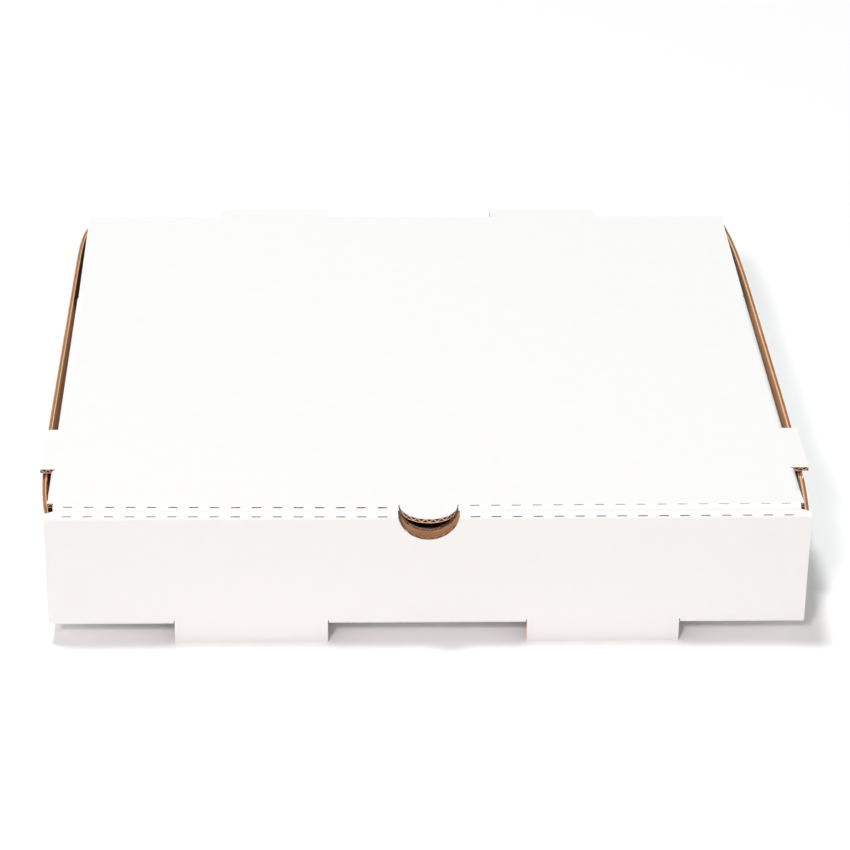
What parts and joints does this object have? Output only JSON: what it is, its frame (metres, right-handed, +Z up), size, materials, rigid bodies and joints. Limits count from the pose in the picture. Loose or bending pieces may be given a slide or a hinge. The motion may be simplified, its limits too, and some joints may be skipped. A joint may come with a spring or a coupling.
{
  "type": "pizza box",
  "caption": "Square take-away pizza box folded from one sheet of white corrugated board, with a tuck-front lid hinged at the back, a finger notch and vents.",
  "frame": {"origin": "middle of the bottom panel's underside", "axes": "+X along the front wall, to the right seen from the front; +Y from the front wall to the hinge; +Z up"},
  "size_m": [0.3206, 0.3215, 0.059],
  "materials": {
    "tray_board": "matt white liner outside, brown kraft liner inside",
    "lid_board": "matt white liner outside, brown kraft liner inside"
  },
  "bodies": {
    "tray": {"base_tray": "tray_board"},
    "lid": {"lid": "lid_board"}
  },
  "joints": [
    {"name": "lid_hinge", "type": "hinge", "parent": "tray", "child": "lid", "pos_m": [0, 0.1545, 0.05], "axis": [-1, 0, 0], "range_deg": [0, 180]}
  ]
}
